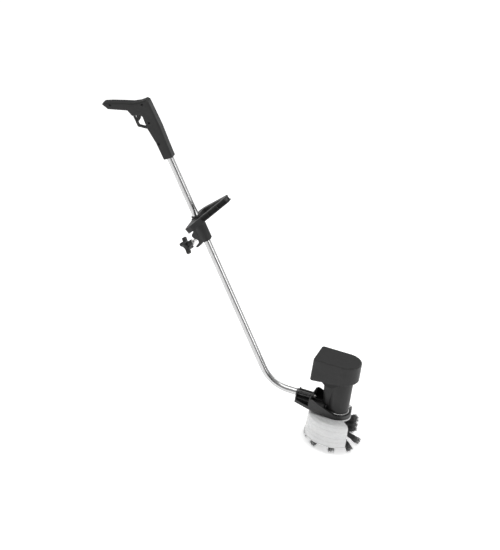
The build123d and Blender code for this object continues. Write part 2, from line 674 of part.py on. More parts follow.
with BuildPart() as motor_can:
    with BuildSketch(Plane.XY.offset(ZB + 4.0)):
        Circle(CAN_RO)
        Circle(CAN_RI, mode=Mode.SUBTRACT)
    extrude(amount=91.5)
motor_can.part.label = "motor_can"
export_step(motor_can.part, "parts/motor_can.step")

with BuildPart() as motor_magnets:
    with BuildSketch(Plane.XY.offset(ZB + 16.0)):
        Circle(CAN_RI)
        Circle(24.4, mode=Mode.SUBTRACT)
        Rectangle(80, 16, mode=Mode.SUBTRACT)
    extrude(amount=56.0)
motor_magnets.part.label = "motor_magnets"
export_step(motor_magnets.part, "parts/motor_magnets.step")

with BuildPart() as end_bell:
    with BuildSketch(Plane.XY.offset(ZB + 95.5)):
        Circle(CAN_RO)
    extrude(amount=3.0)
    with BuildSketch(Plane.XY.offset(ZB + 98.5)):
        Circle(14.0)
    extrude(amount=5.0)
    with BuildSketch(Plane.XY.offset(ZB + 95.0)):
        Circle(11.0)
    extrude(amount=7.0, mode=Mode.SUBTRACT)
end_bell.part.label = "end_bell"
export_step(end_bell.part, "parts/end_bell.step")

with BuildPart() as bearing_lower:
    with BuildSketch(Plane.XY.offset(ZB - 8.5)):
        Circle(11.0)
        Circle(9.0, mode=Mode.SUBTRACT)
    extrude(amount=7.0)
    with BuildSketch(Plane.XY.offset(ZB - 7.6)):
        Circle(9.0)
        Circle(SHAFT_R + 0.05, mode=Mode.SUBTRACT)
    extrude(amount=5.2)
bearing_lower.part.label = "bearing_lower"
export_step(bearing_lower.part, "parts/bearing_lower.step")

with BuildPart() as bearing_upper:
    with BuildSketch(Plane.XY.offset(ZB + 95.0)):
        Circle(11.0)
        Circle(9.0, mode=Mode.SUBTRACT)
    extrude(amount=7.0)
    with BuildSketch(Plane.XY.offset(ZB + 96.0)):
        Circle(9.0)
        Circle(SHAFT_R + 0.05, mode=Mode.SUBTRACT)
    extrude(amount=5.0)
bearing_upper.part.label = "bearing_upper"
export_step(bearing_upper.part, "parts/bearing_upper.step")

with BuildPart() as carbon_brushes:
    for sx in (-1, 1):
        with Locations((sx * 13.6, 0, ZB + 88.0)):
            Box(9.0, 6.0, 6.0)
carbon_brushes.part.label = "carbon_brushes"
export_step(carbon_brushes.part, "parts/carbon_brushes.step")

with BuildPart() as brush_holders:
    for sx in (-1, 1):
        with Locations((sx * 17.0, 0, ZB + 89.0)):
            Box(12.0, 10.0, 13.0)
        with Locations((sx * 15.0, 0, ZB + 88.0)):
            Box(18.0, 6.0, 6.0, mode=Mode.SUBTRACT)
brush_holders.part.label = "brush_holders"
export_step(brush_holders.part, "parts/brush_holders.step")

with BuildPart() as motor_shaft:
    with BuildSketch(Plane.XY):
        Circle(SPIGOT_R)
    extrude(amount=SPIGOT_L)
    with BuildSketch(Plane.XY.offset(SPIGOT_L)):
        Circle(SHAFT_R)
    extrude(amount=ZB + 101.5 - SPIGOT_L)
motor_shaft.part.label = "motor_shaft"
export_step(motor_shaft.part, "parts/motor_shaft.step")

with BuildPart() as armature_core:
    with BuildSketch(Plane.XY.offset(ZB + 18.0)):
        Circle(23.8)
        Circle(SHAFT_R, mode=Mode.SUBTRACT)
        with PolarLocations(19.5, 12):
            SlotOverall(9.0, 3.6, mode=Mode.SUBTRACT)
    extrude(amount=52.0)
armature_core.part.label = "armature_core"
export_step(armature_core.part, "parts/armature_core.step")

with BuildPart() as armature_windings:
    for z0 in (ZB + 8.0, ZB + 70.0):
        with BuildSketch(Plane.XY.offset(z0)):
            Circle(21.5)
            Circle(9.5, mode=Mode.SUBTRACT)
        extrude(amount=10.0 if z0 < ZB + 20 else 8.0)
    with BuildSketch(Plane.XY.offset(ZB + 18.0)):
        with PolarLocations(19.5, 12):
            SlotOverall(8.6, 3.2)
    extrude(amount=52.0)
armature_windings.part.label = "armature_windings"
export_step(armature_windings.part, "parts/armature_windings.step")

with BuildPart() as commutator:
    with BuildSketch(Plane.XY.offset(ZB + 79.0)):
        Circle(9.0)
        Circle(SHAFT_R, mode=Mode.SUBTRACT)
        with PolarLocations(8.6, 12):
            Rectangle(1.6, 0.7, mode=Mode.SUBTRACT)
    extrude(amount=15.0)
commutator.part.label = "commutator"
export_step(commutator.part, "parts/commutator.step")

# speed controller in the head
with BuildPart() as controller_board:
    with Locations((-28.0, 0, ZB + 122.0)):
        Box(104.0, 74.0, 1.6)
    with Locations((-34.0, 0, ZB + 122.0)):
        Cylinder(4.0, 4.0, mode=Mode.SUBTRACT)
controller_board.part.label = "controller_board"
export_step(controller_board.part, "parts/controller_board.step")

with BuildPart() as board_capacitors:
    with BuildSketch(Plane.XY.offset(ZB + 122.8)):
        with Locations((-64, -18), (-64, 6), (-40, -22)):
            Circle(8.0)
    extrude(amount=26.0)
board_capacitors.part.label = "board_capacitors"
export_step(board_capacitors.part, "parts/board_capacitors.step")

with BuildPart() as board_heatsink:
    with Locations((6.0, 0, ZB + 124.3)):
        Box(30.0, 54.0, 3.0)
    for k in range(7):
        with Locations((6.0, -24 + 8 * k, ZB + 132.8)):
            Box(30.0, 2.0, 14.0)
board_heatsink.part.label = "board_heatsink"
export_step(board_heatsink.part, "parts/board_heatsink.step")

with BuildPart() as board_posts:
    with BuildSketch(Plane.XY.offset(ZB + 119.0)):
        with Locations((-74, -32), (-74, 32), (18, -32), (18, 32)):
            Circle(3.5)
    extrude(amount=2.2)
board_posts.part.label = "board_posts"
export_step(board_posts.part, "parts/board_posts.step")

with BuildPart() as motor_lead:
    with BuildLine(Plane.XZ) as lead_path:
        FilletPolyline((-60.0, TUBE_Z - CORD_DROP), (-34.2, TUBE_Z - CORD_DROP), (-34.2, ZB + 120.0), radius=4.0)
    with BuildSketch(Plane(origin=(-60.0, 0, TUBE_Z - CORD_DROP), x_dir=(0, 1, 0), z_dir=(1, 0, 0))):
        Circle(2.4)
    sweep(path=lead_path.wires()[0])
motor_lead.part.label = "motor_lead"
export_step(motor_lead.part, "parts/motor_lead.step")

# ---------------------------------------------------------------- guard
with BuildPart() as guard_shell:
    with BuildSketch(Plane.XZ) as wall_profile:
        with BuildLine():
            Polyline((20, ZB - 14), (87.3, ZB - 14), (89.5, ZB - 85.5), (91.0, ZB - 86), (91.0, ZB - 88.5),
                     (86.6, ZB - 88.5), (84.3, ZB - 17), (20, ZB - 17), close=True)
        make_face()
        fillet([v for v in wall_profile.vertices() if abs(v.X - 87.3) < 0.01], 11.0)
        fillet([v for v in wall_profile.vertices() if abs(v.X - 84.3) < 0.01], 8.5)
    revolve(axis=Axis.Z)
    # open front sector
    with BuildSketch(Plane.XY.offset(ZB - 95)):
        with BuildLine():
            a0, a1 = math.radians(GUARD_A0), math.radians(GUARD_A1)
            am = (a0 + a1) / 2
            Polyline((0, 0), (160 * math.cos(a0), 160 * math.sin(a0)),
                     (260 * math.cos(am), 260 * math.sin(am)),
                     (160 * math.cos(a1), 160 * math.sin(a1)), close=True)
        make_face()
        Circle(47.0, mode=Mode.SUBTRACT)
    extrude(amount=90.0, mode=Mode.SUBTRACT)
    # shallow part lines round the wall
    for zz, rr in ((ZB - 33.0, 87.9), (ZB - 57.0, 88.6), (ZB - 71.0, 89.05)):
        with BuildSketch(Plane.XY.offset(zz - 0.5)):
            Circle(rr + 3)
            Circle(rr - 0.6, mode=Mode.SUBTRACT)
        extrude(amount=1.0, mode=Mode.SUBTRACT)
    with BuildSketch(Plane.XY.offset(ZB - 18)):
        with PolarLocations(37.0, 4, start_angle=45):
            Circle(2.0)
    extrude(amount=5.0, mode=Mode.SUBTRACT)
guard_shell.part.label = "guard_shell"
export_step(guard_shell.part, "parts/guard_shell.step")

with BuildPart() as guard_screws:
    with BuildSketch(Plane.XY.offset(ZB - 17)):
        with PolarLocations(37.0, 4, start_angle=45):
            Circle(2.0)
    extrude(amount=12.0)
    with BuildSketch(Plane.XY.offset(ZB - 19.6)):
        with PolarLocations(37.0, 4, start_angle=45):
            Circle(4.0)
    extrude(amount=2.6)
    with BuildSketch(Plane.XY.offset(ZB - 20)):
        with PolarLocations(37.0, 4, start_angle=45):
            RegularPolygon(1.8, 6)
    extrude(amount=1.8, mode=Mode.SUBTRACT)
guard_screws.part.label = "guard_screws"
export_step(guard_screws.part, "parts/guard_screws.step")

# ---------------------------------------------------------------- brush rotor
TUFTS = []                 # root plane, length and tip radius of every tuft


def add_tuft(azimuth, z0, tilt, length, tip):
    a, t = math.radians(azimuth), math.radians(tilt)
    c, s = math.cos(a), math.sin(a)
    d = (c * math.cos(t), s * math.cos(t), -math.sin(t))
    TUFTS.append((Plane(origin=(HUB_R * c, HUB_R * s, z0), x_dir=(-s, c, 0), z_dir=d), length, tip))


# upright strips between the corners, lower fan all round
for row in range(4):
    for z0 in (ZB - 34.0, ZB - 52.0, ZB - 70.0):
        add_tuft(37.5 + 90.0 * row, z0, 0.0, 42.0, 9.0)
for row in range(8):
    add_tuft(15.0 + 45.0 * row, ZB - 72.0, 31.0, 62.0, 9.0)

with BuildPart() as brush_hub:
    with BuildSketch(Plane.XY.offset(ZB - 86.0)):
        Circle(HUB_R)
    extrude(amount=62.0)
    chamfer(brush_hub.edges().filter_by(GeomType.CIRCLE), 2.0)
    with BuildSketch(Plane.XY.offset(ZB - 24.0)):
        Circle(12.0)
    extrude(amount=8.0)
    with BuildSketch(Plane.XY.offset(ZB - 87.0)):
        Circle(SHAFT_R)
    extrude(amount=75.0, mode=Mode.SUBTRACT)
    for plane, length, tip in TUFTS:
        with BuildSketch(plane.offset(-10.0)):
            Circle(5.5)
        extrude(amount=20.0, mode=Mode.SUBTRACT)
brush_hub.part.label = "brush_hub"
export_step(brush_hub.part, "parts/brush_hub.step")

with BuildPart() as bristle_tufts:
    for plane, length, tip in TUFTS:
        with BuildSketch(plane.offset(-10.0)):
            Circle(5.5)
        extrude(amount=15.0)
        with BuildSketch(plane.offset(5.0)):
            Circle(5.5)
        with BuildSketch(plane.offset(length)):
            Circle(tip)
        loft()
bristle_tufts.part.label = "bristle_tufts"
export_step(bristle_tufts.part, "parts/bristle_tufts.step")

with BuildPart() as hub_washer:
    with BuildSketch(Plane.XY.offset(ZB - 88.0)):
        Circle(12.0)
        Circle(SHAFT_R, mode=Mode.SUBTRACT)
    extrude(amount=2.0)
hub_washer.part.label = "hub_washer"
export_step(hub_washer.part, "parts/hub_washer.step")

with BuildPart() as hub_lock_nut:
    with BuildSketch(Plane.XY.offset(ZB - 94.5)):
        RegularPolygon(7.5, 6)
        Circle(SHAFT_R, mode=Mode.SUBTRACT)
    extrude(amount=6.5)
hub_lock_nut.part.label = "hub_lock_nut"
export_step(hub_lock_nut.part, "parts/hub_lock_nut.step")
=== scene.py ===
"""Electric grass trimmer with a rotating bristle brush.

The brush turns about the vertical Z axis through the origin, the tube leans up from it in
the XZ plane and the camera looks from -Y and above. This script gives the pieces their
materials, grows the bristles and sets up the camera, lights, studio world and floor.
"""
import bpy
import bmesh
import math
import random
from mathutils import Vector, Matrix

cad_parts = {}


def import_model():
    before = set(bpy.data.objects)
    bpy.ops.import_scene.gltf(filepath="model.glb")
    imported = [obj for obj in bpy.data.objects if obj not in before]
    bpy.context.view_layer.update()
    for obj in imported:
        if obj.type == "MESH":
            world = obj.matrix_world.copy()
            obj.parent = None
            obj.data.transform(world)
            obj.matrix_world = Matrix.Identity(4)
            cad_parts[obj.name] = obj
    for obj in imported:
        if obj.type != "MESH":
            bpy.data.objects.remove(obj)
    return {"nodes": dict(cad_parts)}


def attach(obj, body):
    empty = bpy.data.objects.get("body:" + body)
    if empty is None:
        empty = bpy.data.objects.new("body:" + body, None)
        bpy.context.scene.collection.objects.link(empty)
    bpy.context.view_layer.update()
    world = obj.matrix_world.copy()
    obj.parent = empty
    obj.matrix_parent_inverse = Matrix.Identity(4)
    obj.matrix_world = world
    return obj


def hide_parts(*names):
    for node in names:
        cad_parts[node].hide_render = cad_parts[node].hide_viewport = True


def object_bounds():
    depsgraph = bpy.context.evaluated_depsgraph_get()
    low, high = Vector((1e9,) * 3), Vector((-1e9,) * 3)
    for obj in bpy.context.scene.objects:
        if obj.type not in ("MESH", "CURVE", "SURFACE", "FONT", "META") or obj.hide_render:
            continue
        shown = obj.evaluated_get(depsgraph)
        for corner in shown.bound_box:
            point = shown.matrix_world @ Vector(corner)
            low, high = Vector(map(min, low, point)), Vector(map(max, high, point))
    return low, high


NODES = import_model()["nodes"]
CAD_BOX = [list(map(float, corner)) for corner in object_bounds()]
rng = random.Random(20261)

BRACKET_Z = 0.100                                      # height of the bracket ring
TUBE_TURN = (0, math.atan2(0.553, 0.83318), 0)         # turns texture Z about Y onto the tube axis

# scuffs on the guard fade in downwards between these two heights
SCUFF_TOP = BRACKET_Z - 0.045
SCUFF_FULL = BRACKET_Z - 0.0885


# ------------------------------------------------------------ material helpers
def grey(level, warm=0.0):
    """Linear colour of an sRGB grey level (0-255); warm lifts red and lowers blue."""
    value = level / 255.0
    value = value / 12.92 if value <= 0.04045 else ((value + 0.055) / 1.055) ** 2.4
    return (value * (1 + warm), value, value * (1 - warm), 1.0)


class Shader:
    """A material whose procedural textures all use object coordinates."""

    INPUTS = {
        "color": "Base Color", "rough": "Roughness", "metal": "Metallic", "normal": "Normal",
        "coat": "Coat Weight", "coat_rough": "Coat Roughness", "spec": "Specular IOR Level",
        "subsurface": "Subsurface Weight", "subsurface_radius": "Subsurface Radius",
    }

    def __init__(self, name):
        self.material = bpy.data.materials.new(name)
        self.material.use_nodes = True
        self.tree = self.material.node_tree
        self.surface = self.tree.nodes["Principled BSDF"]
        self.position = self.node("TexCoord").outputs["Object"]

    def node(self, kind):
        return self.tree.nodes.new("ShaderNode" + kind)

    def feed(self, target, value):
        """Link a socket to the target, or set a plain value on it."""
        if isinstance(value, bpy.types.NodeSocket):
            self.tree.links.new(value, target)
        else:
            target.default_value = value

    def noise(self, scale, detail=4.0, rough=0.55, stretch=(1, 1, 1), turn=(0, 0, 0)):
        mapping = self.node("Mapping")
        mapping.inputs["Scale"].default_value = stretch
        mapping.inputs["Rotation"].default_value = turn
        self.feed(mapping.inputs["Vector"], self.position)
        noise = self.node("TexNoise")
        noise.inputs["Scale"].default_value = scale
        noise.inputs["Detail"].default_value = detail
        noise.inputs["Roughness"].default_value = rough
        self.feed(noise.inputs["Vector"], mapping.outputs["Vector"])
        return noise.outputs["Fac"]

    def cells(self, scale):
        voronoi = self.node("TexVoronoi")
        voronoi.inputs["Scale"].default_value = scale
        self.feed(voronoi.inputs["Vector"], self.position)
        return voronoi.outputs["Distance"]

    def ramp(self, source, band=(0.3, 0.7), to=(0.0, 1.0)):
        """Map the band of source values linearly onto the 'to' range, clamped."""
        ramp = self.node("MapRange")
        for key, value in zip(("From Min", "From Max", "To Min", "To Max"), (*band, *to)):
            ramp.inputs[key].default_value = value
        self.feed(ramp.inputs["Value"], source)
        return ramp.outputs["Result"]

    def arithmetic(self, operation, first, second):
        node = self.node("Math")
        node.operation = operation
        self.feed(node.inputs[0], first)
        self.feed(node.inputs[1], second)
        return node.outputs[0]

    def add(self, first, second):
        return self.arithmetic("ADD", first, second)

    def multiply(self, first, second):
        return self.arithmetic("MULTIPLY", first, second)

    def tint(self, base, colour, mask, strength=None):
        """Mix colour over base where the mask is 1, optionally weakened by strength."""
        if strength is not None:
            mask = self.multiply(mask, strength)
        mix = self.node("Mix")
        mix.data_type = "RGBA"
        # inputs 0, 6 and 7 are the factor and the two colours
        self.feed(mix.inputs[0], mask)
        self.feed(mix.inputs[6], base)
        self.feed(mix.inputs[7], colour)
        return mix.outputs[2]

    def bump(self, height, strength, depth, normal=None):
        bump = self.node("Bump")
        bump.inputs["Strength"].default_value = strength
        bump.inputs["Distance"].default_value = depth
        self.feed(bump.inputs["Height"], height)
        if normal is not None:
            self.feed(bump.inputs["Normal"], normal)
        return bump.outputs["Normal"]

    def edges(self, radius):
        """A mask that is 1 on sharp edges and 0 on flats, and the rounded normal."""
        bevel = self.node("Bevel")
        bevel.samples = 4
        bevel.inputs["Radius"].default_value = radius
        geometry = self.node("NewGeometry")
        dot = self.node("VectorMath")
        dot.operation = "DOT_PRODUCT"
        self.feed(dot.inputs[0], bevel.outputs["Normal"])
        self.feed(dot.inputs[1], geometry.outputs["Normal"])
        return self.ramp(dot.outputs["Value"], band=(1.0, 0.86)), bevel.outputs["Normal"]

    def finish(self, **values):
        for key, value in values.items():
            self.feed(self.surface.inputs[self.INPUTS[key]], value)
        return self.material


# ------------------------------------------------------------ materials
def plastic(name, tone, rough, grain, grain_height, edge_wear_and_highlight, spec=0.36, dust=0.25,
            edge_radius=0.0009):
    """Injection-moulded plastic: spark-eroded grain, flow marks, rubbed edges that are partly a
    painted edge highlight, a little dust.
    """
    s = Shader(name)
    edge, normal = s.edges(radius=edge_radius)
    fine = s.noise(scale=grain, detail=3.0, rough=0.6)
    pits = s.cells(scale=grain * 0.9)
    flow = s.noise(scale=9.0, detail=5.0, rough=0.6, stretch=(1, 1, 2.5))
    smudge = s.noise(scale=26.0, detail=6.0, rough=0.65)
    speck = s.noise(scale=420.0, detail=2.0, rough=0.5)

    color = s.tint(grey(tone - 4), grey(tone + 5), s.ramp(flow))
    color = s.tint(color, grey(tone + 16), s.ramp(smudge, band=(0.5, 0.8), to=(0.0, 0.25)))
    patchy = s.ramp(s.noise(scale=55.0), band=(0.35, 0.65), to=(0.2, 1.0))
    # edges lighter in patches: part rubbed wear, part a painted highlight along edges and rib lips
    color = s.tint(color, grey(tone + 55), s.multiply(edge, patchy), strength=edge_wear_and_highlight)
    color = s.tint(color, grey(tone + 60, warm=0.01), s.ramp(speck, band=(0.68, 0.76)),
                   strength=dust)

    roughness = s.ramp(smudge, band=(0.3, 0.75), to=(rough - 0.07, rough + 0.09))
    roughness = s.add(roughness, s.ramp(fine, to=(-0.05, 0.05)))
    height = s.add(s.multiply(fine, 0.6), s.multiply(pits, 0.5))
    normal = s.bump(height, strength=grain_height, depth=0.00022, normal=normal)
    normal = s.bump(flow, strength=0.05, depth=0.002, normal=normal)
    return s.finish(color=color, rough=roughness, normal=normal, spec=spec)


def metal(name, tone, rough, brush, along=(1, 1, 1), warm=0.0, dull=0.3, scale=600.0):
    """Drawn or machined metal: fine lines, dull patches, dark spots and a few scratches."""
    s = Shader(name)
    edge, normal = s.edges(radius=0.0005)
    lines = s.noise(scale=scale, detail=4.0, rough=0.7, stretch=along)
    fine = s.noise(scale=scale * 2.6, detail=2.0, rough=0.6, stretch=along)
    patch = s.noise(scale=14.0, detail=6.0, rough=0.65)
    spots = s.noise(scale=160.0, detail=3.0, rough=0.6)
    scratch = s.noise(scale=900.0, detail=1.5, rough=0.5,
                      stretch=tuple(part * 0.6 + 0.2 for part in along))

    color = s.tint(grey(tone - 10, warm), grey(tone + 8, warm), s.ramp(lines))
    color = s.tint(color, grey(tone - 38, warm), s.ramp(patch, band=(0.45, 0.75)),
                   strength=dull)
    color = s.tint(color, grey(tone - 60, warm + 0.02), s.ramp(spots, band=(0.66, 0.74)),
                   strength=0.5)
    color = s.tint(color, grey(tone + 25, warm), edge, strength=0.4)

    roughness = s.ramp(patch, to=(rough - 0.06, rough + 0.12))
    roughness = s.add(roughness, s.ramp(fine, to=(-0.06, 0.06)))
    normal = s.bump(lines, strength=0.10 * brush, depth=0.0004, normal=normal)
    normal = s.bump(s.ramp(scratch, band=(0.70, 0.74)), strength=0.042, depth=0.0002,
                    normal=normal)
    return s.finish(color=color, rough=roughness, metal=1.0, normal=normal)


def rubber(name, tone, rough):
    """Matte rubber with a fine grain and broad lighter patches."""
    s = Shader(name)
    fine = s.noise(scale=700.0, detail=4.0, rough=0.6)
    patch = s.noise(scale=30.0, detail=5.0, rough=0.6)
    color = s.tint(grey(tone - 4), grey(tone + 14), s.ramp(patch, band=(0.35, 0.7)))
    return s.finish(color=color, rough=s.ramp(patch, to=(rough - 0.08, rough + 0.1)),
                    normal=s.bump(fine, strength=0.35, depth=0.0003), spec=0.35)


def drawn_tube(name):
    """Drawn tube: lines along the axis, a faint haze and small rub marks."""
    s = Shader(name)
    edge_normal = s.edges(radius=0.0006)[1]
    lines = s.noise(scale=520.0, detail=5.0, rough=0.65, stretch=(1.0, 1.0, 0.02),
                    turn=TUBE_TURN)
    fine = s.noise(scale=1900.0, detail=2.0, rough=0.6, stretch=(1.0, 1.0, 0.03),
                   turn=TUBE_TURN)
    patch = s.noise(scale=11.0, detail=6.0, rough=0.6)
    mark = s.noise(scale=60.0, detail=6.0, rough=0.75, stretch=(1.0, 1.0, 0.35),
                   turn=TUBE_TURN)
    spots = s.noise(scale=300.0, detail=2.0, rough=0.5)

    color = s.tint(grey(180), grey(214), s.ramp(lines))
    color = s.tint(color, grey(165, warm=0.01), s.ramp(patch, band=(0.45, 0.8)), strength=0.25)
    color = s.tint(color, grey(140, warm=0.01), s.ramp(mark, band=(0.62, 0.72)), strength=0.30)
    color = s.tint(color, grey(120, warm=0.02), s.ramp(spots, band=(0.70, 0.76)), strength=0.4)

    roughness = s.ramp(patch, to=(0.17, 0.27))
    roughness = s.add(roughness, s.ramp(fine, to=(-0.04, 0.05)))
    normal = s.bump(lines, strength=0.05, depth=0.0003, normal=edge_normal)
    normal = s.bump(s.ramp(mark, band=(0.64, 0.70)), strength=0.05, depth=0.0002,
                    normal=normal)
    return s.finish(color=color, rough=roughness, metal=1.0, normal=normal)


def guard_white(name):
    """Slightly glossy white moulding with grass scuffs low down and a faint flow grain."""
    s = Shader(name)
    edge, normal = s.edges(radius=0.0010)
    split = s.node("SeparateXYZ")
    s.feed(split.inputs[0], s.position)
    low = s.ramp(split.outputs["Z"], band=(SCUFF_TOP, SCUFF_FULL))
    flow = s.noise(scale=12.0, detail=5.0, rough=0.6, stretch=(1, 1, 3))
    fine = s.noise(scale=900.0, detail=3.0, rough=0.6)
    scuff = s.noise(scale=75.0, detail=6.0, rough=0.75, stretch=(1, 1, 3.5))
    stain = s.noise(scale=22.0, detail=6.0, rough=0.7)

    color = s.tint((0.70, 0.705, 0.71, 1), (0.76, 0.76, 0.755, 1), s.ramp(flow))
    scuffed = s.multiply(s.ramp(scuff, band=(0.56, 0.70)), low)
    color = s.tint(color, (0.50, 0.51, 0.45, 1), scuffed, strength=0.35)
    color = s.tint(color, (0.62, 0.62, 0.58, 1), s.ramp(stain, band=(0.55, 0.8)),
                   strength=0.12)
    color = s.tint(color, (0.72, 0.72, 0.70, 1), edge, strength=0.25)

    roughness = s.ramp(scuff, band=(0.3, 0.75), to=(0.20, 0.36))
    normal = s.bump(fine, strength=0.10, depth=0.0002, normal=normal)
    normal = s.bump(s.ramp(scuff, band=(0.60, 0.66)), strength=0.10, depth=0.00015,
                    normal=normal)
    return s.finish(color=color, rough=roughness, normal=normal, spec=0.5, coat=0.3,
                    coat_rough=0.12, subsurface=0.08, subsurface_radius=(0.004, 0.004, 0.004))


def bristle_nylon(name):
    """Dark nylon, lighter towards the tips with speckles of painted highlight; the 'along'
    attribute runs 0 to 1 from root to tip.
    """
    s = Shader(name)
    along = s.node("Attribute")
    along.attribute_name = "along"
    blotch = s.noise(scale=260.0, detail=3.0, rough=0.6)
    color = s.tint(grey(30), grey(72), s.ramp(blotch))
    # painted highlight: light grey speckled over the outer part of the strands, standing in for
    # glints on the curly bristles
    tip = s.multiply(s.ramp(along.outputs["Fac"], band=(0.62, 1.0)),
                     s.ramp(blotch, band=(0.42, 0.60), to=(0.1, 1.0)))
    color = s.tint(color, grey(185), tip, strength=0.9)
    return s.finish(color=color, rough=s.ramp(blotch, to=(0.34, 0.55)),
                    normal=s.bump(s.noise(scale=2600.0, detail=2.0), strength=0.2,
                                  depth=0.0002),
                    spec=0.5)


def black(tone, rough, grain, grain_height, edge_wear_and_highlight, **extra):
    """A row of the table below for moulded plastic."""
    return plastic, dict(tone=tone, rough=rough, grain=grain, grain_height=grain_height,
                         edge_wear_and_highlight=edge_wear_and_highlight, **extra)


# material name: builder and its settings; black() rows are
# tone, roughness, grain scale, grain height, edge wear with painted edge highlight
FINISHES = {
    "cover_satin_black": black(34, 0.46, 1500, 0.30, 0.75, edge_radius=0.0016),
    "bracket_black": black(32, 0.38, 1200, 0.25, 0.7, spec=0.5),
    "grip_black": black(34, 0.55, 1300, 0.55, 0.35),
    "loop_black": black(44, 0.5, 1300, 0.45, 0.35),
    "clamp_black": black(38, 0.52, 1200, 0.45, 0.4),
    "knob_black": black(42, 0.5, 1100, 0.5, 0.5),
    "trigger_black": black(22, 0.45, 1500, 0.3, 0.5),
    "sleeve_gloss_black": black(24, 0.2, 700, 0.06, 0.5, dust=0.1, spec=0.75),
    "inner_black": black(45, 0.6, 900, 0.3, 0.2),
    "hub_black": black(40, 0.55, 900, 0.5, 0.5, dust=0.6),
    "cord_rubber": (rubber, dict(tone=36, rough=0.72)),
    "liner_rubber": (rubber, dict(tone=44, rough=0.66)),
    "zinc_plate": (metal, dict(tone=205, rough=0.28, warm=0.012, brush=0.5, dull=0.35)),
    "black_oxide": (metal, dict(tone=70, rough=0.42, brush=0.3, dull=0.4)),
    "machined_aluminium": (metal, dict(tone=222, rough=0.26, along=(1, 1, 14), brush=0.9,
                                       dull=0.15)),
    "ground_steel": (metal, dict(tone=190, rough=0.2, along=(1, 1, 12), brush=0.6, dull=0.2)),
    "laminated_steel": (metal, dict(tone=120, rough=0.45, along=(0.4, 0.4, 6), brush=1.2,
                                    dull=0.5)),
    "brass_contact": (metal, dict(tone=185, rough=0.3, warm=0.35, brush=0.4)),
    "copper_winding": (metal, dict(tone=150, rough=0.35, along=(1, 1, 5), warm=0.55,
                                   brush=1.6, scale=380)),
    "ferrite_grey": black(58, 0.7, 500, 0.8, 0.6),
    "board_green": black(60, 0.4, 500, 0.3, 0.2),
    "drawn_tube": (drawn_tube, {}),
    "guard_white": (guard_white, {}),
    "bristle_nylon": (bristle_nylon, {}),
}
MATERIALS = {name: build(name, **look) for name, (build, look) in FINISHES.items()}

# material name: the CAD pieces that wear it
PIECES = {
    "cover_satin_black": "motor_cover",
    "bracket_black": "motor_bracket",
    "grip_black": "grip_half_left grip_half_right",
    "loop_black": "loop_handle",
    "clamp_black": "clamp_body",
    "knob_black": "star_knob",
    "trigger_black": "trigger",
    "sleeve_gloss_black": "tube_sleeve",
    "inner_black": "micro_switch switch_plunger power_socket brush_holders board_capacitors "
                   "board_posts",
    "hub_black": "brush_hub",
    "cord_rubber": "power_cable grip_wiring motor_lead",
    "liner_rubber": "handle_liner",
    "zinc_plate": "trigger_pin trigger_spring clamp_bolt knob_washer tube_plug tube_lock_bolt "
                  "motor_can guard_screws hub_washer hub_lock_nut",
    "black_oxide": "grip_screws",
    "machined_aluminium": "motor_flange end_bell board_heatsink",
    "ground_steel": "bearing_lower bearing_upper motor_shaft",
    "laminated_steel": "armature_core",
    "brass_contact": "socket_contacts knob_insert",
    "copper_winding": "armature_windings commutator",
    "ferrite_grey": "motor_magnets carbon_brushes",
    "board_green": "controller_board",
    "drawn_tube": "shaft_tube",
    "guard_white": "guard_shell",
    "bristle_nylon": "bristle_tufts",
}


def paint_pieces():
    paint = {piece: MATERIALS[name] for name, group in PIECES.items() for piece in group.split()}
    for piece, item in NODES.items():
        slots = item.data.materials
        if len(slots) == 0:
            slots.append(paint[piece])
        for i in range(len(slots)):
            slots[i] = paint[piece]


def mesh_object(name, bm, material, smooth):
    mesh = bpy.data.meshes.new(name)
    bm.normal_update()
    bm.to_mesh(mesh)
    bm.free()
    item = bpy.data.objects.new(name, mesh)
    bpy.context.scene.collection.objects.link(item)
    mesh.materials.append(material)
    for face in mesh.polygons:
        face.use_smooth = smooth
    return item


# ------------------------------------------------------------ bristles
HUB_RADIUS = 0.034
ROOT_DEPTH = 0.006          # length of each strand buried in the hub
ROOT_SPREAD = 0.0048        # radius of a tuft at its root
STRAND_RADIUS = 0.00055
STRAND_SIDES = 4
STRAND_STATIONS = 12

# level tufts: four columns of three
SIDE_AZIMUTHS = [37.5 + 90.0 * i for i in range(4)]
SIDE_DROPS = (0.034, 0.052, 0.070)      # below the bracket ring
SIDE_TUFT = dict(tilt=0.0, length=0.0425, width=0.0165, height=0.0105, count=150, crimp=0.0013)

# one ring of longer tufts that point outwards and down
LOW_AZIMUTHS = [15.0 + 45.0 * i for i in range(8)]
LOW_DROP = 0.072
LOW_TUFT = dict(tilt=31.0, length=0.0625, width=0.0105, height=0.0105, count=120, crimp=0.0010)


def add_strand(bm, along, points, radius):
    """A thin prism through the points, narrower over its last tenth and capped at the tip."""
    last = len(points) - 1
    rings = []
    for i, point in enumerate(points):
        direction = (points[min(i + 1, last)] - points[max(i - 1, 0)]).normalized()
        across = direction.orthogonal().normalized()
        other = direction.cross(across)
        t = i / last
        reach = radius * (1.0 if t < 0.9 else 0.75)
        ring = []
        for k in range(STRAND_SIDES):
            angle = 2 * math.pi * k / STRAND_SIDES
            offset = (across * math.cos(angle) + other * math.sin(angle)) * reach
            vert = bm.verts.new(point + offset)
            vert[along] = t
            ring.append(vert)
        rings.append(ring)
    for lower, upper in zip(rings, rings[1:]):
        for k in range(STRAND_SIDES):
            after = (k + 1) % STRAND_SIDES
            bm.faces.new((lower[k], lower[after], upper[after], upper[k]))
    bm.faces.new(rings[-1])


